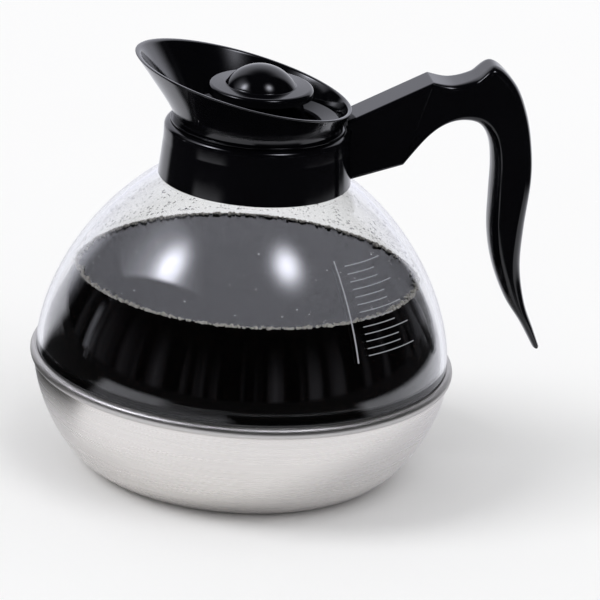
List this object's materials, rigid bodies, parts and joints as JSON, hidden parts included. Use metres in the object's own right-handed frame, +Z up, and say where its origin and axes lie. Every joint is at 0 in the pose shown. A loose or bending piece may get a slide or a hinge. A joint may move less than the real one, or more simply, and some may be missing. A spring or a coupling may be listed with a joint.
{
  "type": "coffee server carafe",
  "caption": "Coffee server carafe: clear round bowl on a drawn steel base cup, black collar with a curved handle, tilted pouring funnel and a lift-out domed lid.",
  "frame": {"origin": "on the bowl's axis, at the flat underside of the base cup", "axes": "+Z up along the bowl's axis, +X towards the handle, -X towards the spout"},
  "size_m": [0.2005, 0.165, 0.1659],
  "materials": {
    "steel_cup": "satin drawn stainless steel, brighter on the rolled bead",
    "silicone": "matt dark silicone",
    "clear_plastic": "clear, gloss, faint condensation inside",
    "black_plastic": "gloss moulded black",
    "screw_steel": "plain turned steel"
  },
  "bodies": {
    "carafe": {"base_cup": "steel_cup", "base_gasket": "silicone", "clear_bowl": "clear_plastic", "collar_gasket": "silicone", "neck_collar": "black_plastic", "collar_screws": "screw_steel", "handle_arm": "black_plastic", "handle_grip": "black_plastic", "grip_screw": "screw_steel"},
    "funnel": {"pour_funnel": "black_plastic", "funnel_seal": "silicone"},
    "lid": {"dome_lid": "black_plastic"}
  },
  "joints": [
    {"name": "funnel_lift", "type": "slide", "parent": "carafe", "child": "funnel", "axis": [0, 0, 1], "range_m": [0, 0.04]},
    {"name": "lid_lift", "type": "slide", "parent": "funnel", "child": "lid", "axis": [0, 0, 1], "range_m": [0, 0.045]}
  ]
}
